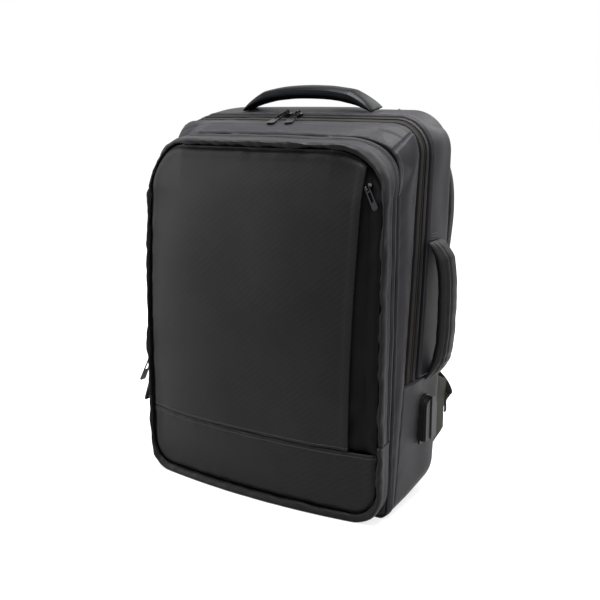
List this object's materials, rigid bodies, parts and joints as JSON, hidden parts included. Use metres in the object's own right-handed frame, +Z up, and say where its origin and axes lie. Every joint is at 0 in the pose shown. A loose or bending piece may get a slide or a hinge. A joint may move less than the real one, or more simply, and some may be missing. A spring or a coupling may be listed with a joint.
{
  "type": "laptop backpack",
  "caption": "Boxy laptop backpack with padded top and side handles, zipped front pocket, shoulder straps and a side charging port, standing on its flat base.",
  "frame": {"origin": "on the base plane, midway between the sides, under the main compartment", "axes": "+Z up, -Y towards the front pocket, +Y towards the wearer's back, +X towards the side handle"},
  "size_m": [0.3767, 0.2301, 0.4665],
  "materials": {
    "shell": "satin woven polyester",
    "panel": "satin fine twill",
    "strip": "matt fine twill",
    "padding": "matt mesh over foam",
    "tape": "matt woven tape",
    "webbing": "matt ribbed webbing",
    "handle": "satin smooth grain",
    "metal": "dark nickel",
    "plastic": "matt",
    "gloss": "gloss"
  },
  "bodies": {
    "bag": {"front_gusset": "shell", "rear_gusset": "shell", "base_gusset": "shell", "front_wall": "shell", "pocket_gusset": "shell", "pocket_rear_band": "shell", "pocket_base": "shell", "front_flap": "panel", "front_lower_panel": "panel", "front_side_strip": "strip", "back_panel": "padding", "main_zip_tape": "tape", "main_zip_coil": "tape", "pocket_zip_tape": "tape", "top_handle": "handle", "side_handle": "handle", "shoulder_strap_left": "padding", "strap_buckle_left": "plastic", "strap_webbing_left": "webbing", "strap_wing_left": "webbing", "shoulder_strap_right": "padding", "strap_buckle_right": "plastic", "strap_webbing_right": "webbing", "strap_wing_right": "webbing", "port_housing": "plastic", "port_cover": "gloss", "main_left_slider": "metal", "main_right_slider": "metal", "pocket_upper_slider": "metal", "pocket_lower_slider": "metal", "flap_slider": "metal"},
    "main_left_pull": {"main_left_pull": "metal"},
    "main_right_pull": {"main_right_pull": "metal"},
    "pocket_upper_pull": {"pocket_upper_pull": "metal"},
    "pocket_lower_pull": {"pocket_lower_pull": "metal"},
    "flap_pull": {"flap_pull": "metal"}
  },
  "joints": [
    {"name": "main_left_pull_swing", "type": "hinge", "parent": "bag", "child": "main_left_pull", "pos_m": [-0.02, 0.01846, 0.43575], "axis": [-0.993, -0.1155, -0.0241], "range_deg": [0, 95]},
    {"name": "main_right_pull_swing", "type": "hinge", "parent": "bag", "child": "main_right_pull", "pos_m": [-0.005, 0.01846, 0.43577], "axis": [-0.9533, -0.2958, -0.0617], "range_deg": [0, 95]},
    {"name": "pocket_upper_pull_swing", "type": "hinge", "parent": "bag", "child": "pocket_upper_pull", "pos_m": [-0.16686, -0.06395, 0.146], "axis": [0, 1, 0], "range_deg": [-4, 110]},
    {"name": "pocket_lower_pull_swing", "type": "hinge", "parent": "bag", "child": "pocket_lower_pull", "pos_m": [-0.16665, -0.06407, 0.124], "axis": [0, 1, 0], "range_deg": [-10, 4]},
    {"name": "flap_pull_swing", "type": "hinge", "parent": "bag", "child": "flap_pull", "pos_m": [0.13955, -0.07743, 0.36343], "axis": [-0.862, -0.0007, -0.5069], "range_deg": [0, 110]}
  ]
}
